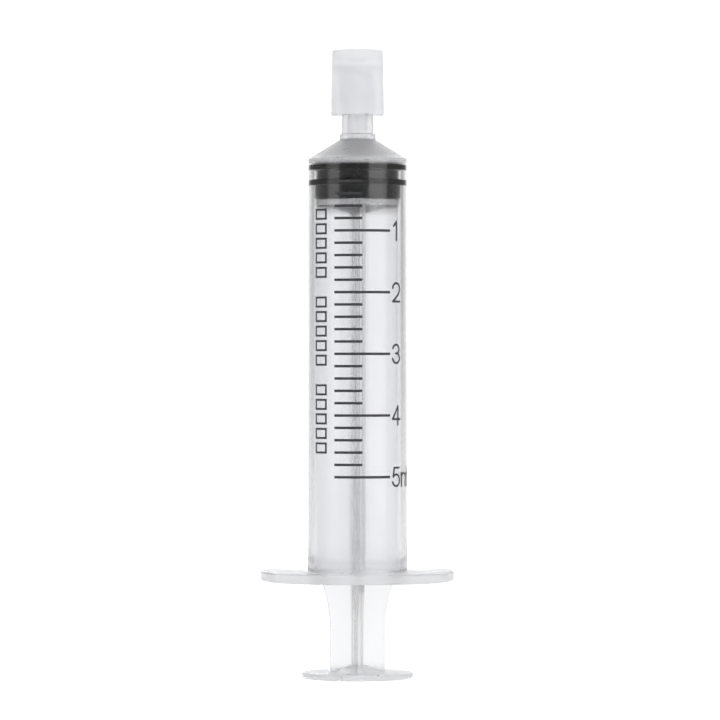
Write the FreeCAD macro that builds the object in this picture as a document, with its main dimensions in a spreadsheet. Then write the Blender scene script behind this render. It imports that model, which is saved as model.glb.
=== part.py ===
"""Oral syringe with a push-on tip cap, standing on its thumb disc.

Millimetres and degrees. +Z runs up the barrel's axis towards the tip, +X along the finger
flange's wings, and the scale faces -Y. The origin is the centre of the thumb disc's lower face.
"""
import FreeCAD, Part

import math
import os
import re

import Sketcher

Vector = FreeCAD.Vector
PARTS = "parts"
NEAR = 0.02  # mm within which an edge is taken to be at a stated place

# Driving dimensions: alias, value, what it is. z_ is a height above the thumb rest.
SIZES = [
    ("bore_radius", 6.10, "barrel bore: 1 ml is 1000 / (pi r^2) mm of travel"),
    ("barrel_radius", 6.88, "barrel outside"),
    ("root_radius", 6.98, "barrel outside where it thickens above the flange"),
    ("z_root_end", 17.60, "top of that thick root"),
    ("z_root_blend", 18.60, "where the root has blended into the barrel"),
    ("z_shoulder", 72.60, "outer edge of the shoulder"),
    ("shoulder_wall", 0.60, "shoulder thickness measured along Z"),
    ("neck_radius", 2.50, "collar at the root of the tip"),
    ("z_neck", 75.30, "top of the shoulder, foot of the collar"),
    ("z_collar", 76.10, "top of the collar"),
    ("tip_root_radius", 2.22, "tip outside at the collar"),
    ("tip_end_radius", 2.02, "tip outside at its free end"),
    ("z_tip_end", 84.56, "free end of the tip"),
    ("channel_radius", 1.05, "fluid channel through the tip"),
    ("ridge_radius", 6.00, "retaining ridge inside the mouth"),
    ("z_ridge_top", 16.90, "where the ridge's sloping upper side leaves the bore"),
    ("ridge_ramp", 0.80, "height of that slope"),
    ("z_ridge_foot", 15.20, "lower edge of the ridge"),
    ("z_lead_in", 14.55, "lower end of the cone that leads the piston in"),
    ("mouth_radius", 6.35, "open end of the bore"),
    ("z_flange", 13.30, "flange underside on the axis"),
    ("flange_thick", 1.35, "flange thickness"),
    ("flange_half", 13.55, "radius of the flange's rounded ends"),
    ("flange_depth", 7.40, "half depth between the flange's two flats"),
    ("flange_corner", 1.20, "rounding where a flat meets an end"),
    ("wing_lift", 0.42, "how far the ends of the flange curl towards the tip"),
    ("rim_fillet", 0.30, "rounding of the flange's rim"),
    ("edge_fillet", 0.22, "rounding of shoulder, collar and tip edges"),
    ("disc_radius", 7.75, "thumb disc"),
    ("disc_thick", 0.85, "thumb disc"),
    ("disc_fillet", 0.34, "rounding of the thumb disc's rim"),
    ("fin_thick", 0.90, "each fin of the cross-shaped rod"),
    ("fin_narrow", 3.85, "fin's half width below the flange"),
    ("fin_wide", 5.75, "fin's half width inside the barrel"),
    ("fin_sweep", 21.0, "radius of the curve from the narrow to the wide part"),
    ("z_fin_sweep", 6.60, "where that curve starts"),
    ("fin_shoulder", 4.00, "rounding where the curve meets the wide part"),
    ("fin_corner", 0.35, "fillet along the rod's inner corners"),
    ("foot_radius", 3.60, "low cone that stiffens the rod's foot on the disc"),
    ("foot_height", 0.75, "height of that cone where it meets the fins' middle"),
    ("foot_top_radius", 1.20, "top of that cone"),
    ("rod_turn", 6.4, "degrees the rod is turned in the barrel at rest"),
    ("z_head_plate", 66.10, "underside of the plate that carries the piston"),
    ("plate_radius", 5.82, "head plate"),
    ("plate_thick", 0.85, "head plate"),
    ("stem_radius", 2.10, "neck between head plate and button"),
    ("stem_height", 1.20, "free height of that neck"),
    ("button_radius", 3.30, "barbed button that holds the piston"),
    ("button_top_radius", 2.00, "top of the button"),
    ("button_height", 2.10, "button from its barb to its top"),
    ("button_edge", 0.35, "straight edge of the barb"),
    ("piston_gap", 0.05, "clearance between the button and the piston's pocket"),
    ("seat_gap", 0.02, "clearance between the head plate and the piston"),
    ("ring_radius", 6.06, "sealing rings, a running fit in the bore"),
    ("skirt_radius", 5.98, "piston below the rings"),
    ("groove_radius", 5.76, "groove between the rings"),
    ("z_ring_low", 68.90, "underside of the lower ring"),
    ("z_groove_low", 69.75, "top of the lower ring"),
    ("z_groove_top", 70.95, "underside of the upper ring"),
    ("z_ring_top", 71.70, "top of the upper ring"),
    ("ring_fillet", 0.14, "rounding of the rings"),
    ("nose_radius", 5.55, "foot of the piston's cone"),
    ("nose_top_radius", 1.30, "flat top of the cone"),
    ("nose_gap", 0.22, "gap along Z between the cone and the shoulder"),
    ("cap_low_radius", 3.70, "cap outside at its mouth"),
    ("cap_top_radius", 3.53, "cap outside at its top"),
    ("z_cap_low", 78.74, "mouth of the cap"),
    ("z_cap_top", 87.80, "top of the cap"),
    ("skirt_wall", 0.45, "cap skirt wall at the mouth"),
    ("skirt_root_wall", 0.52, "cap skirt wall at its root"),
    ("socket_radius", 2.58, "outside of the inner socket"),
    ("socket_inset", 0.28, "how far the socket stops short of the mouth"),
    ("socket_gap", 0.03, "clearance between the socket and the tip"),
    ("z_socket_end", 85.55, "closed end of the socket"),
    ("z_skirt_root", 85.80, "root of the gap between socket and skirt"),
    ("z_recess", 86.40, "floor of the recess in the cap's top"),
    ("recess_radius", 2.66, "recess at its floor"),
    ("recess_top_radius", 2.80, "recess at its rim"),
    ("cap_fillet", 0.13, "rounding of the cap's rims"),
    ("first_line", 0.2, "first graduation in ml"),
    ("last_line", 5.0, "last graduation in ml"),
    ("line_step", 0.2, "ml between graduations"),
    ("z_zero", 71.02, "height at which the scale would read 0"),
    ("ink_thick", 0.03, "thickness of the printed ink"),
    ("line_height", 0.36, "height of a graduation line"),
    ("line_start", -27.8, "degrees from -Y towards +X where every line starts"),
    ("line_short", 5.6, "degrees where the short lines end"),
    ("line_long", 40.9, "degrees where the whole-ml lines end"),
    ("digit_start", 43.6, "degrees at the left edge of the numerals"),
    ("digit_height", 2.85, "height of a numeral"),
    ("digit_width", 1.90, "width of a numeral"),
    ("digit_stroke", 0.29, "line thickness of a numeral"),
    ("unit_space", 0.20, "space before each letter of the unit"),
    ("label_middle", -48.0, "degrees at the middle of the plain label column"),
    ("z_label", 31.5, "lower end of that column"),
    ("block_width", 1.55, "length of one label block along Z"),
    ("block_depth", 2.30, "width of one label block round the barrel"),
    ("block_pitch", 2.02, "from one label block to the next"),
    ("block_gap", 2.10, "extra space between groups of blocks"),
]

# Strokes of the numerals and of the unit, in a cell one unit wide and one high. A corner is
# (x, y); a point marked "over" is the middle of an arc between its neighbours.
GLYPHS = {
    "1": [[(0.14, 0.76), (0.50, 1.0), (0.50, 0.0)]],
    "2": [[(0.03, 0.73), (0.50, 1.0, "over"), (0.95, 0.70), (0.84, 0.46, "over"), (0.60, 0.30),
           (0.03, 0.0), (0.98, 0.0)]],
    "3": [[(0.05, 0.79), (0.45, 1.0, "over"), (0.88, 0.75), (0.78, 0.59, "over"), (0.42, 0.53)],
          [(0.42, 0.53), (0.84, 0.43, "over"), (0.96, 0.26), (0.48, 0.0, "over"), (0.02, 0.24)]],
    "4": [[(0.72, 0.0), (0.72, 1.0)], [(0.72, 1.0), (0.02, 0.30), (1.0, 0.30)]],
    "5": [[(0.88, 1.0), (0.22, 1.0), (0.10, 0.50), (0.50, 0.63, "over"), (0.95, 0.31),
           (0.48, 0.0, "over"), (0.02, 0.22)]],
    "m": [[(0.0, 0.0), (0.0, 0.70)],
          [(0.0, 0.42), (0.50, 0.70, "over"), (0.94, 0.44), (0.94, 0.0)],
          [(0.94, 0.42), (1.44, 0.70, "over"), (1.88, 0.44), (1.88, 0.0)]],
    "l": [[(0.0, 0.0), (0.0, 1.0)]],
}
GLYPH_WIDTHS = {"m": 1.88, "l": 0.0}  # in cells; a numeral is one cell wide
BLOCK_GROUPS = 3
BLOCKS_PER_GROUP = 5


# ---- the sheet and what reads it

def make_sheet(doc):
    """The spreadsheet that drives every size, one alias to a row."""
    sheet = doc.addObject("Spreadsheet::Sheet", "sizes")
    for row, (alias, number, note) in enumerate(SIZES, start=1):
        sheet.set(f"A{row}", alias)
        sheet.set(f"B{row}", f"{number:g}")
        sheet.set(f"C{row}", note)
        sheet.setAlias(f"B{row}", alias)
    doc.recompute()
    return sheet


def value(expression):
    """The present value of an expression over the sheet's aliases."""
    return float(FreeCAD.ActiveDocument.sizes.evalExpression(expression))


def bound(expression):
    """The same expression as another object reads it, with sizes. before each alias."""
    return re.sub(r"\b([a-z]\w*)\b(?!\()", r"sizes.\1", expression)


# ---- sketches and features

def plane(body, role):
    """One of a body's own origin planes or axes."""
    return next(item for item in body.Origin.OriginFeatures if item.Role == role)


def add_sketch(body, name, role, height=None):
    """A sketch on an origin plane, raised by an expression where one is given."""
    sketch = body.newObject("Sketcher::SketchObject", name)
    sketch.AttachmentSupport = [(plane(body, role), "")]
    sketch.MapMode = "FlatFace"
    if height:
        sketch.setExpression("AttachmentOffset.Base.z", bound(height))
    return sketch


def arc_between(first, last, radius):
    """An arc that keeps its centre on the left of first to last, or on the right if radius < 0."""
    chord = last - first
    left = Vector(-chord.y, chord.x, 0).normalize()
    drop = math.sqrt(radius ** 2 - (chord.Length / 2) ** 2)
    centre = (first + last) / 2 + left * math.copysign(drop, radius)
    begin, end = (first, last) if radius > 0 else (last, first)
    angles = [math.atan2(p.y - centre.y, p.x - centre.x) for p in (begin, end)]
    if angles[1] < angles[0]:
        angles[1] += 2 * math.pi
    return Part.ArcOfCircle(Part.Circle(centre, Vector(0, 0, 1), abs(radius)), *angles)


def outline(sketch, corners):
    """Draw a closed outline through corners given as expressions, and bind every one.

    A corner is (x, y). A third entry bends the edge that follows into an arc of that radius.
    """
    tag = f"g{sketch.GeometryCount}_"
    points = [Vector(value(corner[0]), value(corner[1]), 0) for corner in corners]
    ends = []
    for i, corner in enumerate(corners):
        first, last = points[i], points[(i + 1) % len(points)]
        if len(corner) == 2:
            edge = sketch.addGeometry(Part.LineSegment(first, last), False)
            ends.append((edge, 1, 2))
            continue
        radius = value(corner[2])
        edge = sketch.addGeometry(arc_between(first, last, radius), False)
        ends.append((edge, 1, 2) if radius > 0 else (edge, 2, 1))
        limit = sketch.addConstraint(Sketcher.Constraint("Radius", edge, abs(radius)))
        sketch.renameConstraint(limit, f"{tag}bend{i}")
        sketch.setExpression(f"Constraints.{tag}bend{i}", f"abs({bound(corner[2])})")
    for (edge, start, _), (before, _, finish), corner, point in zip(
            ends, ends[-1:] + ends[:-1], corners, points):
        sketch.addConstraint(Sketcher.Constraint("Coincident", before, finish, edge, start))
        for kind, axis, text, place in (("DistanceX", -2, corner[0], point.x),
                                        ("DistanceY", -1, corner[1], point.y)):
            if text == "0":
                sketch.addConstraint(Sketcher.Constraint("PointOnObject", edge, start, axis))
                continue
            limit = sketch.addConstraint(Sketcher.Constraint(kind, -1, 1, edge, start, place))
            name = f"{tag}{kind[-1].lower()}{edge}"
            sketch.renameConstraint(limit, name)
            sketch.setExpression(f"Constraints.{name}", bound(text))


def circle(sketch, radius):
    """A circle about the sketch's origin."""
    sketch.addGeometry(Part.Circle(Vector(), Vector(0, 0, 1), value(radius)), False)
    sketch.addConstraint(Sketcher.Constraint("Coincident", 0, 3, -1, 1))
    sketch.addConstraint(Sketcher.Constraint("Radius", 0, value(radius)))
    sketch.setExpression("Constraints[1]", bound(radius))


def turn(body, name, sketch, kind="PartDesign::Revolution"):
    """A full turn of a sketch about the barrel's axis: a Revolution, or a Groove that cuts."""
    feature = body.newObject(kind, name)
    feature.Profile = sketch
    feature.ReferenceAxis = (sketch, ["V_Axis"])
    feature.Angle = 360
    body.Document.recompute()
    return feature


def pad(body, name, sketch, length, midplane=False):
    """A pad of a sketch, its length bound to an expression."""
    feature = body.newObject("PartDesign::Pad", name)
    feature.Profile = sketch
    feature.Midplane = midplane
    feature.setExpression("Length", bound(length))
    body.Document.recompute()
    return feature


def round_edges(body, name, radius, wanted):
    """A fillet on the edges of the body's present tip that pass the test."""
    base = body.Tip
    names = [f"Edge{i}" for i, edge in enumerate(base.Shape.Edges, start=1) if wanted(edge)]
    if not names:
        raise RuntimeError(f"{name} finds no edge")
    feature = body.newObject("PartDesign::Fillet", name)
    feature.Base = (base, names)
    feature.setExpression("Radius", bound(radius))
    body.Document.recompute()
    return feature


def ring_at(radius, height):
    """A test for a full circle about the axis, given as expressions."""
    size, level = value(radius), value(height)

    def test(edge):
        if not isinstance(edge.Curve, Part.Circle):
            return False
        centre = edge.Curve.Center
        return (abs(edge.Curve.Radius - size) < NEAR and abs(centre.z - level) < NEAR
                and math.hypot(centre.x, centre.y) < NEAR)
    return test


def any_of(*tests):
    """A test that passes where one of several does."""
    return lambda edge: any(test(edge) for test in tests)


def upright(edge):
    """Whether an edge is a straight line along Z."""
    box = edge.BoundBox
    return isinstance(edge.Curve, Part.Line) and box.XLength < NEAR and box.YLength < NEAR


# ---- the pieces

def make_barrel(doc):
    """Barrel, finger flange, shoulder and tip: one moulding, open at the flange."""
    body = doc.addObject("PartDesign::Body", "barrel")

    # The flange is a disc with two flats, curled slightly so that its ends stand higher.
    plan = add_sketch(body, "flange_plan", "XY_Plane", "z_flange")
    reach = "sqrt(flange_half^2 - flange_depth^2)"
    outline(plan, [(reach, "-flange_depth", "flange_half"), (reach, "flange_depth"),
                   (f"-{reach}", "flange_depth", "flange_half"), (f"-{reach}", "-flange_depth")])
    pad(body, "flange_slab", plan, "flange_thick + wing_lift")
    round_edges(body, "flange_corners", "flange_corner", upright)
    curl = add_sketch(body, "flange_curl", "XZ_Plane")
    curl_radius = "(flange_half^2 + wing_lift^2) / (2 * wing_lift)"
    top = "z_flange + flange_thick"
    outline(curl, [("-flange_half", f"{top} + wing_lift", curl_radius),
                   ("flange_half", f"{top} + wing_lift"),
                   ("flange_half", f"{top} + 2 * wing_lift"),
                   ("-flange_half", f"{top} + 2 * wing_lift")])
    outline(curl, [("flange_half", "z_flange - wing_lift"),
                   ("flange_half", "z_flange + wing_lift", f"-({curl_radius})"),
                   ("-flange_half", "z_flange + wing_lift"),
                   ("-flange_half", "z_flange - wing_lift")])
    trim = body.newObject("PartDesign::Pocket", "flange_trim")
    trim.Profile = curl
    trim.Midplane = True
    trim.setExpression("Length", bound("4 * flange_depth"))
    doc.recompute()
    rim = value("flange_depth") - NEAR
    round_edges(body, "flange_rim", "rim_fillet", lambda edge: not upright(edge) and all(
        abs(v.Y) > rim or math.hypot(v.X, v.Y) > value("flange_half") - value("flange_corner")
        for v in edge.Vertexes))

    outside = add_sketch(body, "outside", "XZ_Plane")
    outline(outside, [("0", f"{top} - flange_thick / 2"), ("root_radius", f"{top} - flange_thick / 2"),
                      ("root_radius", "z_root_end"), ("barrel_radius", "z_root_blend"),
                      ("barrel_radius", "z_shoulder"), ("neck_radius", "z_neck"),
                      ("neck_radius", "z_collar"), ("tip_root_radius", "z_collar"),
                      ("tip_end_radius", "z_tip_end"), ("0", "z_tip_end")])
    turn(body, "barrel_solid", outside)
    round_edges(body, "soft_edges", "edge_fillet",
                any_of(ring_at("barrel_radius", "z_shoulder"), ring_at("neck_radius", "z_collar"),
                       ring_at("tip_end_radius", "z_tip_end")))
    foot = value("root_radius")
    round_edges(body, "flange_root", "rim_fillet", lambda edge: all(
        abs(math.hypot(v.X, v.Y) - foot) < NEAR and v.Z < value("z_root_end") - 1
        for v in edge.Vertexes) and not isinstance(edge.Curve, Part.Line))

    inside = add_sketch(body, "inside", "XZ_Plane")
    slope = "(z_neck - z_shoulder) / (barrel_radius - neck_radius)"
    roof = f"z_shoulder - shoulder_wall + {slope} * (barrel_radius - {{}})"
    outline(inside, [("0", "z_flange - wing_lift"), ("mouth_radius", "z_flange - wing_lift"),
                     ("mouth_radius", "z_lead_in"), ("ridge_radius", "z_ridge_foot"),
                     ("ridge_radius", "z_ridge_top - ridge_ramp"), ("bore_radius", "z_ridge_top"),
                     ("bore_radius", roof.format("bore_radius")),
                     ("channel_radius", roof.format("channel_radius")),
                     ("channel_radius", "z_tip_end + wing_lift"), ("0", "z_tip_end + wing_lift")])
    turn(body, "bore_and_channel", inside, "PartDesign::Groove")
    return body


def make_plunger_rod(doc):
    """Thumb disc, four fins, head plate and the barbed button that the piston is pressed over."""
    body = doc.addObject("PartDesign::Body", "plunger_rod")
    thumb = add_sketch(body, "thumb_circle", "XY_Plane")
    circle(thumb, "disc_radius")
    pad(body, "thumb_disc", thumb, "disc_thick")
    round_edges(body, "thumb_rim", "disc_fillet",
                any_of(ring_at("disc_radius", "0"), ring_at("disc_radius", "disc_thick")))

    fins = add_sketch(body, "fin_outline", "XZ_Plane")
    flare = "z_fin_sweep + sqrt(fin_sweep^2 - (fin_sweep - fin_wide + fin_narrow)^2)"
    outline(fins, [("-fin_narrow", "disc_thick / 2"), ("fin_narrow", "disc_thick / 2"),
                   ("fin_narrow", "z_fin_sweep", "-fin_sweep"), ("fin_wide", flare),
                   ("fin_wide", "z_head_plate + plate_thick / 2"),
                   ("-fin_wide", "z_head_plate + plate_thick / 2"),
                   ("-fin_wide", flare, "-fin_sweep"), ("-fin_narrow", "z_fin_sweep")])
    first = pad(body, "fin_pair", fins, "fin_thick", midplane=True)
    cross = body.newObject("PartDesign::PolarPattern", "fin_cross")
    cross.Originals = [first]
    cross.Axis = (plane(body, "Z_Axis"), [""])
    cross.Angle = 90
    cross.Occurrences = 2
    body.Tip = cross
    doc.recompute()
    wide, level = value("fin_wide"), value(flare)
    round_edges(body, "fin_shoulders", "fin_shoulder", lambda edge: all(
        abs(v.Z - level) < NEAR and max(abs(v.X), abs(v.Y)) > wide - NEAR for v in edge.Vertexes))
    half = value("fin_thick / 2")
    round_edges(body, "fin_corners", "fin_corner", lambda edge: upright(edge) and all(
        abs(abs(v.X) - half) < NEAR and abs(abs(v.Y) - half) < NEAR for v in edge.Vertexes))

    foot = add_sketch(body, "foot_section", "XZ_Plane")
    outline(foot, [("0", "disc_thick / 2"), ("foot_radius", "disc_thick / 2"),
                   ("foot_radius", "disc_thick"), ("foot_top_radius", "disc_thick + foot_height"),
                   ("0", "disc_thick + foot_height")])
    turn(body, "foot_cone", foot)

    head = add_sketch(body, "head_section", "XZ_Plane")
    deck = "z_head_plate + plate_thick"
    outline(head, [("0", "z_head_plate"), ("plate_radius", "z_head_plate"), ("plate_radius", deck),
                   ("stem_radius", deck), ("stem_radius", f"{deck} + stem_height"),
                   ("button_radius", f"{deck} + stem_height"),
                   ("button_radius", f"{deck} + stem_height + button_edge"),
                   ("button_top_radius", f"{deck} + stem_height + button_height"),
                   ("0", f"{deck} + stem_height + button_height")])
    turn(body, "head_and_button", head)
    body.setExpression("Placement.Rotation.Angle", "sizes.rod_turn * 1 deg")
    return body


def make_piston(doc):
    """Rubber piston: two sealing rings, a conical nose, and a pocket for the rod's button."""
    body = doc.addObject("PartDesign::Body", "piston")
    section = add_sketch(body, "section", "XZ_Plane")
    deck = "z_head_plate + plate_thick"
    slope = "(z_neck - z_shoulder) / (barrel_radius - neck_radius)"
    nose = f"z_shoulder - shoulder_wall - nose_gap + {slope} * (barrel_radius - {{}})"
    barb = f"{deck} + stem_height"
    outline(section, [("stem_radius + piston_gap", f"{deck} + seat_gap"),
                      ("skirt_radius", f"{deck} + seat_gap"), ("skirt_radius", "z_ring_low"),
                      ("ring_radius", "z_ring_low"), ("ring_radius", "z_groove_low"),
                      ("groove_radius", "z_groove_low"), ("groove_radius", "z_groove_top"),
                      ("ring_radius", "z_groove_top"), ("ring_radius", "z_ring_top"),
                      ("nose_radius", nose.format("nose_radius")),
                      ("nose_top_radius", nose.format("nose_top_radius")),
                      ("0", nose.format("nose_top_radius")),
                      ("0", f"{barb} + button_height + piston_gap"),
                      ("button_top_radius + piston_gap", f"{barb} + button_height + piston_gap"),
                      ("button_radius + piston_gap", f"{barb} + button_edge + piston_gap"),
                      ("button_radius + piston_gap", f"{barb} - piston_gap"),
                      ("stem_radius + piston_gap", f"{barb} - piston_gap")])
    turn(body, "moulding", section)
    round_edges(body, "ring_edges", "ring_fillet", any_of(
        ring_at("ring_radius", "z_groove_low"), ring_at("ring_radius", "z_groove_top"),
        ring_at("ring_radius", "z_ring_top")))
    return body


def make_tip_cap(doc):
    """Push-on cap: a socket that grips the tip inside a free-standing skirt."""
    body = doc.addObject("PartDesign::Body", "tip_cap")
    section = add_sketch(body, "section", "XZ_Plane")
    taper = "(tip_root_radius - tip_end_radius) / (z_tip_end - z_collar)"
    socket = f"tip_root_radius + socket_gap - {taper} * ({{}} - z_collar)"
    lip = "z_cap_low + socket_inset"
    outline(section, [("0", "z_recess"), ("0", "z_socket_end"),
                      (socket.format("z_socket_end"), "z_socket_end"),
                      (socket.format(f"({lip})"), lip), ("socket_radius", lip),
                      ("socket_radius", "z_skirt_root"),
                      ("cap_top_radius - skirt_root_wall", "z_skirt_root"),
                      ("cap_low_radius - skirt_wall", "z_cap_low"), ("cap_low_radius", "z_cap_low"),
                      ("cap_top_radius", "z_cap_top"), ("recess_top_radius", "z_cap_top"),
                      ("recess_radius", "z_recess")])
    turn(body, "moulding", section)
    round_edges(body, "cap_rims", "cap_fillet", any_of(
        ring_at("cap_low_radius", "z_cap_low"), ring_at("cap_top_radius", "z_cap_top"),
        ring_at("recess_top_radius", "z_cap_top")))
    return body


# ---- the print

def ink_sector(start, end, low, height):
    """A band of ink on the barrel between two angles, measured from -Y towards +X."""
    inner, outer = value("barrel_radius"), value("barrel_radius + ink_thick")
    face = Part.makePolygon([Vector(inner, 0, low), Vector(outer, 0, low),
                             Vector(outer, 0, low + height), Vector(inner, 0, low + height),
                             Vector(inner, 0, low)])
    band = Part.Face(face).revolve(Vector(), Vector(0, 0, 1), end - start)
    band.rotate(Vector(), Vector(0, 0, 1), start - 90)
    return band


def straight_stroke(first, last, width):
    """A straight pen stroke with round ends, flat in the XY plane."""
    along = (last - first).normalize() * (width / 2)
    side = Vector(-along.y, along.x, 0)
    edges = [Part.LineSegment(first - side, last - side), Part.Arc(last - side, last + along, last + side),
             Part.LineSegment(last + side, first + side),
             Part.Arc(first + side, first - along, first - side)]
    return Part.Face(Part.Wire([edge.toShape() for edge in edges]))


def stroke_face(points, width):
    """One pen stroke with round ends, straight or bent, flat in the XY plane."""
    if len(points) == 2:
        return straight_stroke(Vector(*points[0], 0), Vector(*points[1], 0), width)
    edges = []
    i = 0
    while i < len(points) - 1:
        first, following = points[i], points[i + 1]
        if len(following) == 3:
            arc = Part.Arc(Vector(*first[:2], 0), Vector(*following[:2], 0), Vector(*points[i + 2][:2], 0))
            edges.append(arc.toShape())
            i += 2
        else:
            edges.append(Part.LineSegment(Vector(*first[:2], 0), Vector(*following[:2], 0)).toShape())
            i += 1
    return Part.Wire(edges).makeOffset2D(width / 2, 0, True, False, False)


def wrap(faces, angle, height):
    """Lay flat faces, drawn about the sketch's origin, on the barrel at an angle and a height."""
    shell = Part.makeCylinder(value("barrel_radius + ink_thick"), 20, Vector(0, 0, height - 10))
    shell = shell.cut(Part.makeCylinder(value("barrel_radius"), 20, Vector(0, 0, height - 10)))
    flat = faces[0].fuse(faces[1:]).removeSplitter() if len(faces) > 1 else faces[0]
    solid = flat.extrude(Vector(0, 0, value("barrel_radius + 1")))
    solid.rotate(Vector(), Vector(1, 0, 0), 90)
    solid.translate(Vector(0, 0, height))
    solid.rotate(Vector(), Vector(0, 0, 1), angle)
    return solid.common(shell)


def glyph_faces(name, width, height):
    """The strokes of one glyph, scaled to its cell and centred in X and Y."""
    span = GLYPH_WIDTHS.get(name, 1.0) * width
    faces = []
    for path in GLYPHS[name]:
        points = [(p[0] * width - span / 2, (p[1] - 0.5) * height) + tuple(p[2:]) for p in path]
        faces.append(stroke_face(points, value("digit_stroke")))
    return faces


def make_graduation_print(doc):
    """Scale lines every 0.2 ml, with a longer line, a numeral and the unit at whole ml."""
    travel = 1000 / (math.pi * value("bore_radius") ** 2)
    stroke = value("digit_stroke")
    width, height = value("digit_width - digit_stroke"), value("digit_height - digit_stroke")
    per_degree = math.radians(value("barrel_radius"))
    pieces = []
    for i in range(round(value("(last_line - first_line) / line_step")) + 1):
        volume = value("first_line") + i * value("line_step")
        whole = abs(volume - round(volume)) < value("line_step") / 2
        level = value("z_zero") - volume * travel
        end = value("line_long" if whole else "line_short")
        pieces.append(ink_sector(value("line_start"), end, level - value("line_height / 2"),
                                 value("line_height")))
        if not whole:
            continue
        angle = value("digit_start") + value("digit_width") / 2 / per_degree
        pieces.append(wrap(glyph_faces(str(round(volume)), width, height), angle, level))
        if round(volume) < round(value("last_line")):
            continue
        angle += value("digit_width") / 2 / per_degree
        for letter in "ml":
            half = (GLYPH_WIDTHS[letter] * width + stroke) / 2 / per_degree
            angle += value("unit_space") / per_degree + half
            pieces.append(wrap(glyph_faces(letter, width, height), angle, level))
            angle += half
    return add_print(doc, "graduation_print", pieces)


def make_label_print(doc):
    """A plain column of open blocks beside the scale, which stands for a line of small print."""
    length, depth, stroke = value("block_width"), value("block_depth"), value("digit_stroke")
    block = Part.makePlane(depth, length, Vector(-depth / 2, -length / 2, 0))
    hollow = Part.makePlane(depth - 2 * stroke, length - 2 * stroke,
                            Vector(stroke - depth / 2, stroke - length / 2, 0))
    face = block.cut(hollow).Faces[0]
    pieces = []
    level = value("z_label + block_width / 2")
    for _ in range(BLOCK_GROUPS):
        for _ in range(BLOCKS_PER_GROUP):
            pieces.append(wrap([face], value("label_middle"), level))
            level += value("block_pitch")
        level += value("block_gap")
    return add_print(doc, "label_print", pieces)


def add_print(doc, name, pieces):
    """One feature that holds every separate patch of ink."""
    feature = doc.addObject("Part::Feature", name)
    feature.Shape = Part.makeCompound([solid for piece in pieces for solid in piece.Solids])
    return feature


# ---- the document

def check(doc, pieces):
    """Stop if any feature failed, or if a piece's shape is empty or broken."""
    for item in doc.Objects:
        if {"Invalid", "Error"} & set(item.State):
            raise RuntimeError(f"{item.Label} failed: {item.State}")
    for piece in pieces:
        if piece.Shape.isNull() or not piece.Shape.isValid():
            raise RuntimeError(f"{piece.Label} has a bad shape")


def main():
    """Build the document and write one STEP file for each piece."""
    doc = FreeCAD.newDocument("oral_syringe")
    make_sheet(doc)
    pieces = [make_barrel(doc), make_plunger_rod(doc), make_piston(doc), make_tip_cap(doc),
              make_graduation_print(doc), make_label_print(doc)]
    doc.recompute()
    check(doc, pieces)
    os.makedirs(PARTS, exist_ok=True)
    for piece in pieces:
        piece.Shape.exportStep(os.path.join(PARTS, f"{piece.Label}.step"))
        print(f"{piece.Label}: {len(piece.Shape.Solids)} solids, {piece.Shape.Volume:.1f} mm3")


main()
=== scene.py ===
"""Looks of the oral syringe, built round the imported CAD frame.

The frame is in metres, +Z up the barrel's axis, origin at the centre of the thumb disc's lower
face. Meshes are worked out in millimetres and scaled once, when an object is made. The main sizes
are measured on the CAD nodes; the rest are heights and finish details that are named here.
"""

import math

import bpy
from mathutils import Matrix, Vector


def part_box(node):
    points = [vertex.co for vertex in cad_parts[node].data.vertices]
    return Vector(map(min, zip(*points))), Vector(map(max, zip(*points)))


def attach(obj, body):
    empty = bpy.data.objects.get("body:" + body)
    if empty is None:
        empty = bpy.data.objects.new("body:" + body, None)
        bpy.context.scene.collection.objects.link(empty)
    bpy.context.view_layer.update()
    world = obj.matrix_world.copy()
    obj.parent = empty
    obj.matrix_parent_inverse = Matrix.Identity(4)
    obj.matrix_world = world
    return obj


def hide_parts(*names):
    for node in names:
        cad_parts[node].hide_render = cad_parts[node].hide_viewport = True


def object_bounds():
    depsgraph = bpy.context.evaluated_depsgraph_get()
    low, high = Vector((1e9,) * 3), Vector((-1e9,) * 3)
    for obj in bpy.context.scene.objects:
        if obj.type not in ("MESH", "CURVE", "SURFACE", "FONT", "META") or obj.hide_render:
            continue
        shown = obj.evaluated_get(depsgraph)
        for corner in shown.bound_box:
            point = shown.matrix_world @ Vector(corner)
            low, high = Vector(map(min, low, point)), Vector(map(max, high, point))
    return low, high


MM = 0.001
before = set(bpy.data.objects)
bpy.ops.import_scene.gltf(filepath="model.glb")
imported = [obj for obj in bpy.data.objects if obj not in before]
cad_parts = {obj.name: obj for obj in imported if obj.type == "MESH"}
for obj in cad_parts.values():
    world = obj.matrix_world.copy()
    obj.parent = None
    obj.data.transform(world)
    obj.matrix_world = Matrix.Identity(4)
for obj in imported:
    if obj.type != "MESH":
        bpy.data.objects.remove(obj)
cad_box = [list(corner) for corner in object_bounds()]

# ---- camera: level, a long way off, as high as the middle of the syringe

CAMERA_DISTANCE = 0.640
VIEW_WIDTH = 0.1008       # what the picture spans at the barrel's axis
VIEW_MIDDLE_X = 0.00034
VIEW_MIDDLE_Z = cad_box[1][2] / 2 + 0.0006
SENSOR = 36.0


def make_camera():
    """The level camera of the main picture."""
    data = bpy.data.cameras.new("camera")
    data.sensor_width = SENSOR
    data.lens = SENSOR * CAMERA_DISTANCE / VIEW_WIDTH
    data.clip_start = 0.01
    data.clip_end = 20
    camera = bpy.data.objects.new("camera", data)
    camera.location = (VIEW_MIDDLE_X, -CAMERA_DISTANCE, VIEW_MIDDLE_Z)
    camera.rotation_euler = (math.radians(90), 0, 0)
    bpy.context.scene.collection.objects.link(camera)
    bpy.context.scene.camera = camera


make_camera()


# ---- sizes, in millimetres: the main ones are read from the CAD nodes

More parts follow.
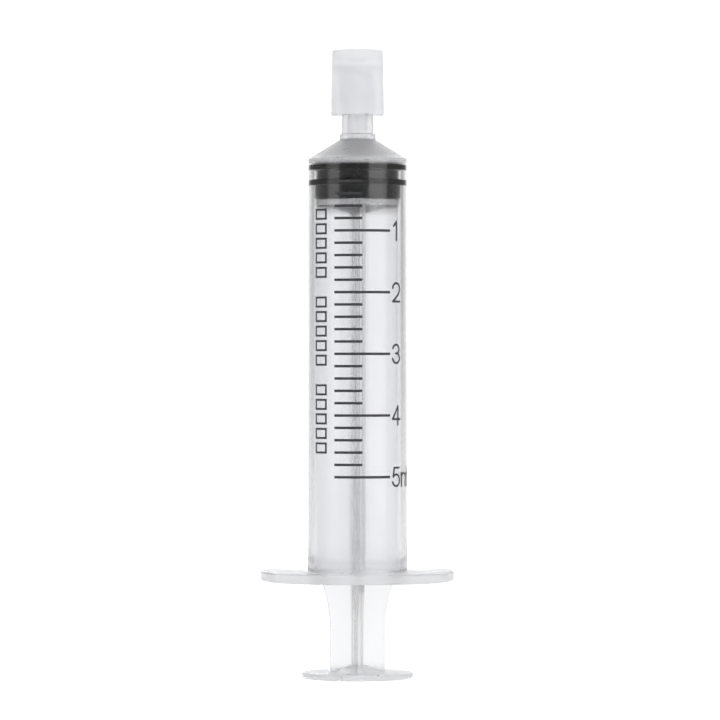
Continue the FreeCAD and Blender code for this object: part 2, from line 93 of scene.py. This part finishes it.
def radii(node, low, high):
    """Distances from the axis of a CAD node's vertices between two heights."""
    points = [vertex.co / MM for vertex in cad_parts[node].data.vertices]
    return [math.hypot(p.x, p.y) for p in points if low <= p.z <= high]


barrel_low, barrel_high = (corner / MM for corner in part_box("barrel"))
cap_low, cap_high = (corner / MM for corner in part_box("tip_cap"))
piston_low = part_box("piston")[0] / MM

STRAIGHT_Z = (72.4, 72.5)     # heights on the straight wall, just under the shoulder
BORE = min(radii("barrel", *STRAIGHT_Z))
BARREL = max(radii("barrel", *STRAIGHT_Z))
ROOT = 6.98
FLANGE_HALF, FLANGE_DEPTH, TIP_END = barrel_high.x, barrel_high.y, barrel_high.z
FLANGE_Z, FLANGE_THICK, WING_LIFT = barrel_low.z, 1.35, 0.42
RIDGE, MOUTH = 6.00, 6.35
RIDGE_START_Z, RIDGE_TOP_Z, RIDGE_END_Z, LEAD_IN_Z = 16.90, 16.10, 15.20, 14.55
ROOT_Z, ROOT_END_Z = 16.90, 19.60
SHOULDER_Z = 72.60
NECK, NECK_Z, COLLAR_Z = 2.50, 75.30, 76.10
TIP_ROOT, TIP_TOP, CHANNEL = 2.22, 2.02, 1.05
SHOULDER_WALL = 0.60

DISC_THICK = 0.85
PLATE_Z, DECK_Z = 66.10, 66.95
MARGIN = 0.1              # round a height window, so that its ends are inside it
DISC = max(radii("plunger_rod", -MARGIN, DISC_THICK + MARGIN))
PLATE = max(radii("plunger_rod", PLATE_Z - MARGIN, DECK_Z + MARGIN))
FIN_HALF_THICK, FIN_NARROW, FIN_WIDE = 0.45, 3.85, 5.75
FIN_SWEEP, FIN_SWEEP_Z = 21.0, 6.60
ROD_TURN = math.radians(6.4)
STEM, STEM_TOP_Z, BUTTON, BUTTON_TOP, BUTTON_TOP_Z = 2.10, 68.15, 3.30, 2.00, 70.25
BUTTON_RIM = 0.35

CONTACT = 0.01            # the rubber is squeezed against the wall, with no air between them
RING = BORE + CONTACT
SKIRT, GROOVE = 5.98, 5.76
RING_EDGES_Z = (68.90, 69.75, 70.95, 71.70)
NOSE, NOSE_END = 5.80, 1.30
POCKET_GAP = 0.05
CAP_MOUTH, CAP_LOW, CAP_END = cap_high.x, cap_low.z, cap_high.z
CAP_TOP = 3.53
LIP_Z = CAP_LOW + 0.28
SOCKET_END_Z, SKIRT_ROOT_Z, RECESS_Z = 85.55, 85.80, 86.40
SOCKET_GAP, SOCKET_OUTSIDE = 0.03, 2.58
CAP_WALL_TOP, CAP_WALL_LOW = 0.52, 0.45
RECESS_TOP, RECESS_FLOOR = 2.80, 2.66
GATE, GATE_TOP, GATE_DEPTH = 0.6, 0.9, 0.12

SHOULDER_SLOPE = (NECK_Z - SHOULDER_Z) / (BARREL - NECK)


def roof(r, drop=SHOULDER_WALL):
    """Height of the shoulder's inner face at a radius, or of a face parallel to it."""
    return SHOULDER_Z - drop + SHOULDER_SLOPE * (BARREL - r)


# ---- mesh tools

ARC_STEPS = 5
SUPPORT = 0.06            # from a rounded edge to the loop that keeps the flat beside it flat
SUPPORT_SHARE = 0.05      # the most of a short side that SUPPORT may take
REACH_SHARE = 0.45        # the most of a side that the rounding of one of its ends may take
EDGE = 0.05               # what a moulded edge is rounded to where nothing else is said
POLE = 1e-6               # a ring smaller than this is a single point


def rounded(corners, loop=False):
    """A profile with its corners rounded. A corner is (r, z) or (r, z, radius)."""
    points = []
    count = len(corners)
    for i, corner in enumerate(corners):
        here = Vector(corner[:2])
        if not loop and i in (0, count - 1):
            points.append(here)
            continue
        before = Vector(corners[i - 1][:2]) - here
        after = Vector(corners[(i + 1) % count][:2]) - here
        half = before.angle(after) / 2
        size = corner[2] if len(corner) > 2 else EDGE
        reach = min(size / math.tan(half), REACH_SHARE * before.length, REACH_SHARE * after.length)
        centre = here + (before.normalized() + after.normalized()).normalized() * reach / math.cos(half)
        first, last = here + before.normalized() * reach, here + after.normalized() * reach
        points.append(first + before.normalized() * min(SUPPORT, SUPPORT_SHARE * before.length))
        a, b = (first - centre).normalized(), (last - centre).normalized()
        for step in range(ARC_STEPS + 1):
            points.append(centre + a.slerp(b, step / ARC_STEPS).normalized() * reach * math.tan(half))
        points.append(last + after.normalized() * min(SUPPORT, SUPPORT_SHARE * after.length))
    return points


def skin(name, rings, loop=False):
    """A closed mesh over rings of equal count; a ring of one point is a pole."""
    vertices, faces, starts = [], [], []
    for ring in rings:
        starts.append(len(vertices))
        vertices += [Vector(p) * MM for p in ring]
    pairs = list(zip(range(len(rings) - 1), range(1, len(rings))))
    if loop:
        pairs.append((len(rings) - 1, 0))
    for low, high in pairs:
        a, b = starts[low], starts[high]
        n, m = len(rings[low]), len(rings[high])
        for i in range(max(n, m)):
            j = (i + 1) % max(n, m)
            if n == 1:
                faces.append((a, b + j, b + i))
            elif m == 1:
                faces.append((a + i, a + j, b))
            else:
                faces.append((a + i, a + j, b + j, b + i))
    mesh = bpy.data.meshes.new(name)
    mesh.from_pydata(vertices, [], faces)
    mesh.validate()
    mesh.shade_smooth()
    piece = bpy.data.objects.new(name, mesh)
    bpy.context.scene.collection.objects.link(piece)
    return piece


def lathe(profile, segments=192):
    """Rings of a profile turned about the axis."""
    step = 2 * math.pi / segments
    return [[(0, 0, z)] if r < POLE else
            [(r * math.cos(i * step), r * math.sin(i * step), z) for i in range(segments)]
            for r, z in profile]


def smooth_max(a, b, blend):
    """The larger of two lengths, with a fillet where they are nearly equal."""
    near = max(blend - abs(a - b), 0) / blend
    return max(a, b) + near * near * blend / 4


# ---- the pieces

BARREL_SEGMENTS = 360
BARREL_STEP = 0.7         # longest step between rings where there is room for more of them
MOST_STEPS = 10
FLANGE_CORNER = 0.25      # how softly a flat of the flange turns into an end
CORNER_WIDTH = 4 * FLANGE_CORNER
CURL_FADE = 0.6           # the flange's curl fades out this far up the tube


def flange_edge(angle):
    """Distance from the axis to the flange's rim: a disc with two flats."""
    flat = FLANGE_DEPTH / max(abs(math.sin(angle)), 1e-3)
    near = max(CORNER_WIDTH - abs(FLANGE_HALF - flat), 0) / CORNER_WIDTH
    return min(FLANGE_HALF, flat) - near * near * FLANGE_CORNER


def barrel_profile(edge):
    """The barrel's section, down the inside, round the flange and up the outside."""
    top = FLANGE_Z + FLANGE_THICK
    return rounded([
        (CHANNEL, TIP_END, 0.12), (CHANNEL, roof(CHANNEL), 0.25), (BORE, roof(BORE), 0.30),
        (BORE, RIDGE_START_Z, 1.5), (RIDGE, RIDGE_TOP_Z, 1.0), (RIDGE, RIDGE_END_Z, 0.2),
        (MOUTH, LEAD_IN_Z, 0.2), (MOUTH, FLANGE_Z, 0.10), (edge, FLANGE_Z, 0.30), (edge, top, 0.30),
        (ROOT, top, 0.35), (ROOT, ROOT_Z, 3.0), (BARREL, ROOT_END_Z, 3.0), (BARREL, SHOULDER_Z, 0.25),
        (NECK, NECK_Z, 0.20), (NECK, COLLAR_Z, 0.20), (TIP_ROOT, COLLAR_Z, 0.12),
        (TIP_TOP, TIP_END, 0.22)], loop=True)


def make_barrel():
    """Barrel with its flange curled along X, as one closed skin."""
    reference = barrel_profile(FLANGE_HALF)
    sides = [(reference[(i + 1) % len(reference)] - p).length for i, p in enumerate(reference)]
    counts = [max(1, min(MOST_STEPS, round(side / BARREL_STEP))) for side in sides]
    curl = (FLANGE_HALF ** 2) / (2 * WING_LIFT)
    lift_top, lift_end = FLANGE_Z + FLANGE_THICK, FLANGE_Z + FLANGE_THICK + CURL_FADE
    columns = []
    for i in range(BARREL_SEGMENTS):
        angle = 2 * math.pi * i / BARREL_SEGMENTS
        profile = barrel_profile(flange_edge(angle))
        column = []
        for k, point in enumerate(profile):
            following = profile[(k + 1) % len(profile)]
            for part in range(counts[k]):
                r, z = point.lerp(following, part / counts[k])
                x = r * math.cos(angle)
                weight = min(max((lift_end - z) / (lift_end - lift_top), 0), 1)
                column.append((x, r * math.sin(angle), z + weight * x * x / (2 * curl)))
        columns.append(column)
    rings = [list(ring) for ring in zip(*columns)]
    return skin("barrel_shell", rings, loop=True)


SIDE_STEPS = 9
FIN_EDGE = 0.12           # rounding along the fins' free edges
FIN_FILLET = 0.35         # fillet along the rod's inner corners
FOOT_CONE, FOOT_TOP, FOOT_Z = 3.60, 1.20, 1.60
HEAD_CONE_Z, HEAD_CONE, HEAD_CONE_GROWTH = 65.0, 0.8, 2.6
CONE_STEPS, CONE_BLEND = 8, 0.25
SWEEP_STEPS, SWEEP_STEP = 25, 0.45
SWEEP_SHARE, SWEEP_BLEND = 0.9, 0.35    # of the sweep's radius; fillet where it meets the wide part
SHANK_Z = (2.5, 4.0, 5.5)
ROD_Z = (19, 25, 35, 45, 55, 63, 64.6)


def cross_outline(width):
    """Outline of the rod's cross at one height, the same number of points for any width."""
    side, inner = FIN_HALF_THICK, FIN_HALF_THICK + FIN_FILLET
    half = []
    for step in range(ARC_STEPS):
        turn = math.radians(45 + 45 * (step + 1) / ARC_STEPS)
        half.append((inner - FIN_FILLET * math.cos(turn), inner - FIN_FILLET * math.sin(turn)))
    end = width - FIN_EDGE
    start_angle, end_angle = math.atan(side / inner), math.atan(side / (end - SUPPORT))
    for step in range(1, SIDE_STEPS + 1):
        turn = start_angle + (end_angle - start_angle) * step / SIDE_STEPS
        half.append((side / math.tan(turn), side))
    for step in range(ARC_STEPS + 1):
        turn = math.radians(90 - 90 * step / ARC_STEPS)
        half.append((end + FIN_EDGE * math.cos(turn), side - FIN_EDGE * (1 - math.sin(turn))))
    half.append((width, side / 2))
    corner = inner - FIN_FILLET * math.cos(math.radians(45))
    upper = half[::-1]
    fin = [(corner, -corner)] + [(x, -y) for x, y in half] + [(width, 0)] + upper
    outline = []
    for quarter in range(4):
        c, s = round(math.cos(quarter * math.pi / 2)), round(math.sin(quarter * math.pi / 2))
        outline += [(c * x - s * y, s * x + c * y) for x, y in fin]
    return outline


def fin_width(z):
    """Half width of the fins at a height: narrow, then a sweep out to the width in the barrel."""
    if z <= FIN_SWEEP_Z:
        return FIN_NARROW
    rise = min(z - FIN_SWEEP_Z, FIN_SWEEP * SWEEP_SHARE)
    sweep = FIN_NARROW + FIN_SWEEP - math.sqrt(FIN_SWEEP ** 2 - rise ** 2)
    return -smooth_max(-sweep, -FIN_WIDE, SWEEP_BLEND)


def make_plunger_rod():
    """Thumb disc, fins, head plate and button as one closed skin, turned a little in the barrel."""
    narrow = cross_outline(FIN_NARROW)
    wide = cross_outline(FIN_WIDE)

    def circle(outline, r, z):
        if r < POLE:
            return [(0, 0, z)]
        return [(r * x / math.hypot(x, y), r * y / math.hypot(x, y), z) for x, y in outline]

    def section(z, cone=0.0):
        ring = []
        for x, y in cross_outline(fin_width(z)):
            reach = math.hypot(x, y)
            out = smooth_max(reach, cone, CONE_BLEND) if cone > 0 else reach
            ring.append((x * out / reach, y * out / reach, z))
        return ring

    dimple = [(0, 0.16), (0.95, 0.16), (1.15, 0.0), (3.0, 0.0)]
    rings = [circle(narrow, r, z) for r, z in dimple]
    rings += [circle(narrow, r, z) for r, z in rounded(
        [(4.0, 0), (DISC, 0, 0.34), (DISC, DISC_THICK, 0.34), (4.4, DISC_THICK)])]
    for step in range(CONE_STEPS + 1):
        share = step / CONE_STEPS
        rings.append(section(DISC_THICK + share * (FOOT_Z - DISC_THICK),
                             FOOT_CONE + share * (FOOT_TOP - FOOT_CONE)))
    rings += [section(FOOT_Z + 0.15 * step, FOOT_TOP - 0.45 * step) for step in (1, 2)]
    rings += [section(z) for z in SHANK_Z]
    rings += [section(FIN_SWEEP_Z + SWEEP_STEP * step) for step in range(SWEEP_STEPS)]
    rings += [section(z) for z in ROD_Z]
    for step in range(CONE_STEPS + 1):
        share = step / CONE_STEPS
        rings.append(section(HEAD_CONE_Z + share * (PLATE_Z - HEAD_CONE_Z),
                             HEAD_CONE + HEAD_CONE_GROWTH * share))
    rings += [circle(wide, r, z) for r, z in rounded(
        [(FIN_WIDE + 0.03, PLATE_Z), (PLATE, PLATE_Z, 0.10), (PLATE, DECK_Z, 0.18), (STEM, DECK_Z, 0.15),
         (STEM, STEM_TOP_Z, 0.10), (BUTTON, STEM_TOP_Z, 0.10), (BUTTON, STEM_TOP_Z + BUTTON_RIM, 0.2),
         (BUTTON_TOP, BUTTON_TOP_Z, 0.4), (0, BUTTON_TOP_Z)])[1:]]
    c, s = math.cos(ROD_TURN), math.sin(ROD_TURN)
    rings = [[(c * x - s * y, s * x + c * y, z) for x, y, z in ring] for ring in rings]
    return skin("plunger_rod_shell", rings)


def make_piston():
    """Rubber piston with softly rounded rings."""
    gap = POCKET_GAP
    rear = piston_low.z
    rear_low, rear_high, front_low, front_high = RING_EDGES_Z
    nose_low, nose_high = (roof(r, SHOULDER_WALL - CONTACT) for r in (NOSE, NOSE_END))
    profile = rounded([
        (0, BUTTON_TOP_Z + gap), (BUTTON_TOP + gap, BUTTON_TOP_Z + gap),
        (BUTTON + gap, STEM_TOP_Z + BUTTON_RIM + gap), (BUTTON + gap, STEM_TOP_Z - gap),
        (STEM + gap, STEM_TOP_Z - gap), (STEM + gap, rear), (SKIRT, rear, 0.15),
        (SKIRT, rear_low, 0.05), (RING, rear_low, 0.03), (RING, rear_high, 0.16),
        (GROOVE, rear_high, 0.10), (GROOVE, front_low, 0.10), (RING, front_low, 0.16),
        (RING, front_high, 0.16), (NOSE, nose_low, 0.25), (NOSE_END, nose_high, 0.1),
        (0, nose_high)])
    return skin("piston_rubber", lathe(profile))


def make_tip_cap():
    """Push-on cap: socket, skirt and the recess in its top."""
    taper = (TIP_ROOT - TIP_TOP) / (TIP_END - COLLAR_Z)

    def socket(z):
        return TIP_ROOT + SOCKET_GAP - taper * (z - COLLAR_Z)

    profile = rounded([
        (0, SOCKET_END_Z), (socket(SOCKET_END_Z), SOCKET_END_Z, 0.3), (socket(LIP_Z), LIP_Z, 0.10),
        (SOCKET_OUTSIDE, LIP_Z, 0.10), (SOCKET_OUTSIDE, SKIRT_ROOT_Z, 0.15),
        (CAP_TOP - CAP_WALL_TOP, SKIRT_ROOT_Z, 0.15), (CAP_MOUTH - CAP_WALL_LOW, CAP_LOW, 0.08),
        (CAP_MOUTH, CAP_LOW, 0.13), (CAP_TOP, CAP_END, 0.16), (RECESS_TOP, CAP_END, 0.12),
        (RECESS_FLOOR, RECESS_Z, 0.2), (GATE_TOP, RECESS_Z, 0.1), (GATE, RECESS_Z - GATE_DEPTH, 0.1),
        (0, RECESS_Z - GATE_DEPTH)])
    return skin("tip_cap_shell", lathe(profile))


# ---- materials

NOISE_MIDDLE = (0.3, 0.7)     # where nearly all of a noise texture's values lie
NATURAL = (0.985, 0.986, 0.995, 1)      # undyed polypropylene
DEPTH_TINT = (0.0, 0.01, 0.03, 1)       # what thick plastic lets through


def new_material(name):
    """A node material, with its nodes, links and Principled shader."""
    material = bpy.data.materials.new(name)
    material.use_nodes = True
    nodes = material.node_tree.nodes
    return material, nodes, material.node_tree.links, nodes["Principled BSDF"]


def noise(nodes, links, scale, detail=3.0, stretch=(1, 1, 1)):
    """A noise texture in the object's own metres, stretched along an axis where asked."""
    place = nodes.new("ShaderNodeTexCoord")
    mapping = nodes.new("ShaderNodeMapping")
    mapping.inputs["Scale"].default_value = stretch
    texture = nodes.new("ShaderNodeTexNoise")
    texture.inputs["Scale"].default_value = scale
    texture.inputs["Detail"].default_value = detail
    links.new(place.outputs["Object"], mapping.inputs["Vector"])
    links.new(mapping.outputs["Vector"], texture.inputs["Vector"])
    return texture.outputs["Fac"]


def spread(nodes, links, source, low, high):
    """A texture's middle range mapped to low and high."""
    ramp = nodes.new("ShaderNodeMapRange")
    ramp.inputs["From Min"].default_value, ramp.inputs["From Max"].default_value = NOISE_MIDDLE
    ramp.inputs["To Min"].default_value = low
    ramp.inputs["To Max"].default_value = high
    links.new(source, ramp.inputs["Value"])
    return ramp.outputs["Result"]


def add_bump(nodes, links, shader, source, distance):
    """Bump of a real depth in metres."""
    bump = nodes.new("ShaderNodeBump")
    bump.inputs["Distance"].default_value = distance
    links.new(source, bump.inputs["Height"])
    links.new(bump.outputs["Normal"], shader.inputs["Normal"])


def by_height(nodes, links, stops):
    """A level that changes with height; stops are (millimetres, level)."""
    place = nodes.new("ShaderNodeTexCoord")
    split = nodes.new("ShaderNodeSeparateXYZ")
    links.new(place.outputs["Object"], split.inputs["Vector"])
    share = nodes.new("ShaderNodeMapRange")
    share.inputs["From Min"].default_value = stops[0][0] * MM
    share.inputs["From Max"].default_value = stops[-1][0] * MM
    links.new(split.outputs["Z"], share.inputs["Value"])
    ramp = nodes.new("ShaderNodeValToRGB")
    marks = ramp.color_ramp.elements
    span = stops[-1][0] - stops[0][0]
    while len(marks) < len(stops):
        marks.new(0.5)
    for mark, (z, level) in zip(marks, stops):
        mark.position = (z - stops[0][0]) / span
        mark.color = (level, level, level, 1)
    links.new(share.outputs["Result"], ramp.inputs["Fac"])
    return ramp.outputs["Color"]


def plastic(name, clear, haze, painted_shading, absorption, ior=1.49, ripple=8e-7):
    """Natural polypropylene: hazy, absorbing with depth, with fine moulding ripples.

    clear and haze are (height, level) stops for the share of light let through and the roughness:
    thick sections are milkier. A third list of stops sets the brightness of the base colour by height:
    painted shade.
    """
    material, nodes, links, shader = new_material(name)
    # Base colour: natural plastic darkened by height, as painted shade.
    shaded_base = nodes.new("ShaderNodeMix")
    shaded_base.data_type = "RGBA"
    shaded_base.inputs["A"].default_value = (0, 0, 0, 1)
    shaded_base.inputs["B"].default_value = NATURAL
    links.new(by_height(nodes, links, painted_shading), shaded_base.inputs["Factor"])
    links.new(shaded_base.outputs["Result"], shader.inputs["Base Color"])
    shader.inputs["IOR"].default_value = ior
    links.new(by_height(nodes, links, clear), shader.inputs["Transmission Weight"])
    cloud = noise(nodes, links, 260, stretch=(1, 1, 0.25))
    uneven = nodes.new("ShaderNodeMath")
    uneven.operation = "MULTIPLY"
    links.new(spread(nodes, links, cloud, 0.8, 1.25), uneven.inputs[0])
    links.new(by_height(nodes, links, haze), uneven.inputs[1])
    links.new(uneven.outputs["Value"], shader.inputs["Roughness"])
    add_bump(nodes, links, shader, noise(nodes, links, 900, detail=2.0), ripple)
    depth = nodes.new("ShaderNodeVolumeAbsorption")
    depth.inputs["Color"].default_value = DEPTH_TINT
    depth.inputs["Density"].default_value = absorption
    links.new(depth.outputs["Volume"], nodes["Material Output"].inputs["Volume"])
    return material


def rubber(name):
    """Black siliconed rubber."""
    material, nodes, links, shader = new_material(name)
    tone = nodes.new("ShaderNodeMix")
    tone.data_type = "RGBA"
    tone.inputs["A"].default_value = (0.002, 0.002, 0.0023, 1)
    tone.inputs["B"].default_value = (0.006, 0.006, 0.0065, 1)
    links.new(spread(nodes, links, noise(nodes, links, 900), 0, 1), tone.inputs["Factor"])
    links.new(tone.outputs["Result"], shader.inputs["Base Color"])
    links.new(spread(nodes, links, noise(nodes, links, 420), 0.24, 0.34), shader.inputs["Roughness"])
    add_bump(nodes, links, shader, noise(nodes, links, 5000, detail=2.0), 4e-6)
    return material


def ink(name):
    """Black printing ink with a slightly uneven film."""
    material, nodes, links, shader = new_material(name)
    tone = nodes.new("ShaderNodeMix")
    tone.data_type = "RGBA"
    tone.inputs["A"].default_value = (0.012, 0.012, 0.014, 1)
    tone.inputs["B"].default_value = (0.045, 0.045, 0.050, 1)
    links.new(spread(nodes, links, noise(nodes, links, 3500, detail=4.0), 0, 1), tone.inputs["Factor"])
    links.new(tone.outputs["Result"], shader.inputs["Base Color"])
    links.new(spread(nodes, links, noise(nodes, links, 1800), 0.38, 0.6), shader.inputs["Roughness"])
    add_bump(nodes, links, shader, noise(nodes, links, 9000, detail=2.0), 3e-6)
    return material


def finish_piece(piece, material, body, node):
    """Give a new piece its material, in a slot of its own, and its body, and hide the CAD node that it
    stands for.
    """
    piece.data.materials.clear()
    piece.data.materials.append(material)
    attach(piece, body)
    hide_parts(node)


# (height in mm, level) stops of each moulding
BARREL_CLEAR = ((13.3, 0.60), (14.6, 0.68), (15.2, 0.92), (17.0, 0.98), (19.0, 1.0), (71.75, 1.0),
                (72.15, 0.74), (73.0, 0.70), (75.3, 0.72), (76.3, 0.76), (78.6, 0.76), (79.2, 1.0))
BARREL_HAZE = ((13.3, 0.34), (14.6, 0.34), (15.6, 0.22), (18.5, 0.15), (62.0, 0.14), (66.0, 0.11),
               (72.0, 0.12), (72.4, 0.32), (75.5, 0.30), (76.5, 0.28), (78.6, 0.28), (79.2, 0.12))
# Barrel base colour brightness by height: painted shade, darker at the flange and the shoulder.
BARREL_PAINTED_SHADE = ((13.3, 0.84), (14.6, 0.90), (15.2, 1.0), (19.0, 0.99), (72.0, 0.99), (72.6, 0.93),
                  (74.6, 0.96), (75.3, 1.0), (76.3, 0.97), (78.6, 0.95), (79.0, 1.0))
ROD_CLEAR = ((0, 0.60), (0.9, 0.60), (2.0, 0.91), (64.8, 0.93), (66.0, 0.62), (70.0, 0.62))
ROD_HAZE = ((0, 0.32), (1.0, 0.32), (2.5, 0.20), (64.8, 0.20), (66.0, 0.25), (70.0, 0.25))
# Rod base colour brightness by height: painted shade, darker at the thumb disc, the lower fins and the
# head plate under the rubber.
ROD_PAINTED_SHADE = ((0, 0.81), (0.7, 0.83), (0.95, 0.98), (2.0, 0.88), (10.0, 0.88), (30.0, 0.96),
               (64.5, 0.97), (66.0, 0.72), (70.0, 0.72))
CAP_CLEAR = ((78.7, 0.74), (84.0, 0.74), (85.3, 0.56), (87.8, 0.56))
CAP_HAZE = ((78.7, 0.32), (84.0, 0.32), (85.3, 0.40), (87.8, 0.40))
# Cap base colour brightness by height: painted shade, darker over the cap's top.
CAP_PAINTED_SHADE = ((78.7, 0.97), (84.0, 0.99), (85.3, 0.86), (87.8, 0.82))

barrel_plastic = plastic("clear_polypropylene", BARREL_CLEAR, BARREL_HAZE, BARREL_PAINTED_SHADE, absorption=12)
rod_plastic = plastic("rod_polypropylene", ROD_CLEAR, ROD_HAZE, ROD_PAINTED_SHADE, absorption=1.5)
cap_plastic = plastic("cap_polypropylene", CAP_CLEAR, CAP_HAZE, CAP_PAINTED_SHADE, absorption=0.5, ior=1.22)

finish_piece(make_barrel(), barrel_plastic, "barrel", "barrel")
finish_piece(make_plunger_rod(), rod_plastic, "plunger", "plunger_rod")
finish_piece(make_tip_cap(), cap_plastic, "cap", "tip_cap")
finish_piece(make_piston(), rubber("piston_rubber"), "piston", "piston")
for node in ("graduation_print", "label_print"):
    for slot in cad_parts[node].material_slots:
        slot.material = ink("printing_ink")


# ---- floor, lights and surroundings

BACKDROP = 1.085          # just over white, seen directly and through the plastic
FILL, FILL_TINT = 1.06, (0.96, 0.97, 1.0, 1)
STUDIO = ((0.0, 0.10), (0.35, 0.20), (0.88, 0.27), (1.0, 1.20))    # reflected, from front to back
FLOOR_GREY = 0.18
FLOOR_GLOW, FLOOR_REFLECTED = 0.96, 0.78    # its own light, seen directly and in reflections
FLOOR_REACH = 6.0
FLOOR_Z = -0.0525         # out of the thumb disc's way when the plunger is pulled right out


def make_floor():
    """A plain white floor that runs out of sight."""
    mesh = bpy.data.meshes.new("floor")
    corners = [(-FLOOR_REACH, -FLOOR_REACH, FLOOR_Z), (FLOOR_REACH, -FLOOR_REACH, FLOOR_Z),
               (FLOOR_REACH, FLOOR_REACH, FLOOR_Z), (-FLOOR_REACH, FLOOR_REACH, FLOOR_Z)]
    mesh.from_pydata(corners, [], [(0, 1, 2, 3)])
    floor = bpy.data.objects.new("floor", mesh)
    material, nodes, links, shader = new_material("floor_white")
    shader.inputs["Base Color"].default_value = (FLOOR_GREY, FLOOR_GREY, FLOOR_GREY, 1)
    shader.inputs["Roughness"].default_value = 0.9
    shader.inputs["Specular IOR Level"].default_value = 0.0
    shader.inputs["Emission Color"].default_value = (1, 1, 1, 1)
    path = nodes.new("ShaderNodeLightPath")
    glow = nodes.new("ShaderNodeMapRange")
    glow.inputs["To Min"].default_value = FLOOR_GLOW
    glow.inputs["To Max"].default_value = FLOOR_REFLECTED
    links.new(path.outputs["Glossy Depth"], glow.inputs["Value"])
    links.new(glow.outputs["Result"], shader.inputs["Emission Strength"])
    mesh.materials.append(material)
    bpy.context.scene.collection.objects.link(floor)


def softbox(name, azimuth, elevation, distance, size, radiance):
    """An area light that faces the syringe's middle; azimuth 0 is behind the camera."""
    data = bpy.data.lights.new(name, "AREA")
    data.shape = "RECTANGLE"
    data.size, data.size_y = size
    data.energy = radiance * math.pi * size[0] * size[1]
    light = bpy.data.objects.new(name, data)
    a, e = math.radians(azimuth), math.radians(elevation)
    aim = Vector((0, 0, cad_box[1][2] / 2))
    light.location = aim + distance * Vector((math.sin(a) * math.cos(e), -math.cos(a) * math.cos(e),
                                              math.sin(e)))
    light.rotation_euler = (light.location - aim).to_track_quat("Z", "Y").to_euler()
    light.visible_camera = False
    bpy.context.scene.collection.objects.link(light)


def make_surroundings():
    """White all round where it is seen directly or through the plastic, dimmer in reflections."""
    world = bpy.data.worlds.new("studio")
    world.use_nodes = True
    nodes, links = world.node_tree.nodes, world.node_tree.links
    backdrop = nodes["Background"]
    backdrop.inputs["Color"].default_value = (1, 1, 1, 1)
    backdrop.inputs["Strength"].default_value = BACKDROP
    studio = nodes.new("ShaderNodeBackground")
    place = nodes.new("ShaderNodeTexCoord")
    split = nodes.new("ShaderNodeSeparateXYZ")
    links.new(place.outputs["Generated"], split.inputs["Vector"])
    ramp = nodes.new("ShaderNodeValToRGB")
    ramp.color_ramp.interpolation = "EASE"
    marks = ramp.color_ramp.elements
    while len(marks) < len(STUDIO):
        marks.new(0.5)
    for mark, (share, level) in zip(marks, STUDIO):
        mark.position = share
        mark.color = (level, level, level, 1)
    turn = nodes.new("ShaderNodeMapRange")
    turn.inputs["From Min"].default_value = -1
    turn.inputs["From Max"].default_value = 1
    links.new(split.outputs["Y"], turn.inputs["Value"])
    links.new(turn.outputs["Result"], ramp.inputs["Fac"])
    links.new(ramp.outputs["Color"], studio.inputs["Color"])
    fill = nodes.new("ShaderNodeBackground")
    fill.inputs["Color"].default_value = FILL_TINT
    fill.inputs["Strength"].default_value = FILL
    path = nodes.new("ShaderNodeLightPath")
    seen = backdrop.outputs["Background"]
    for depth, light in (("Glossy Depth", studio), ("Diffuse Depth", fill)):
        reached = nodes.new("ShaderNodeMath")
        reached.operation = "MINIMUM"
        reached.inputs[1].default_value = 1
        links.new(path.outputs[depth], reached.inputs[0])
        mix = nodes.new("ShaderNodeMixShader")
        links.new(reached.outputs["Value"], mix.inputs["Fac"])
        links.new(seen, mix.inputs[1])
        links.new(light.outputs["Background"], mix.inputs[2])
        seen = mix.outputs["Shader"]
    links.new(seen, nodes["World Output"].inputs["Surface"])
    bpy.context.scene.world = world


make_floor()
make_surroundings()
softbox("softbox_right", azimuth=50, elevation=10, distance=1.6, size=(1.35, 2.0), radiance=1.25)
softbox("softbox_left", azimuth=-60, elevation=10, distance=1.8, size=(1.0, 1.8), radiance=0.85)
softbox("softbox_top", azimuth=180, elevation=54, distance=1.5, size=(1.8, 1.8), radiance=1.0)
bpy.context.scene.view_settings.view_transform = "Standard"
bpy.context.scene.cycles.use_denoising = True
bpy.context.scene.cycles.max_bounces = 32
bpy.context.scene.cycles.transmission_bounces = 32
bpy.context.scene.cycles.glossy_bounces = 12
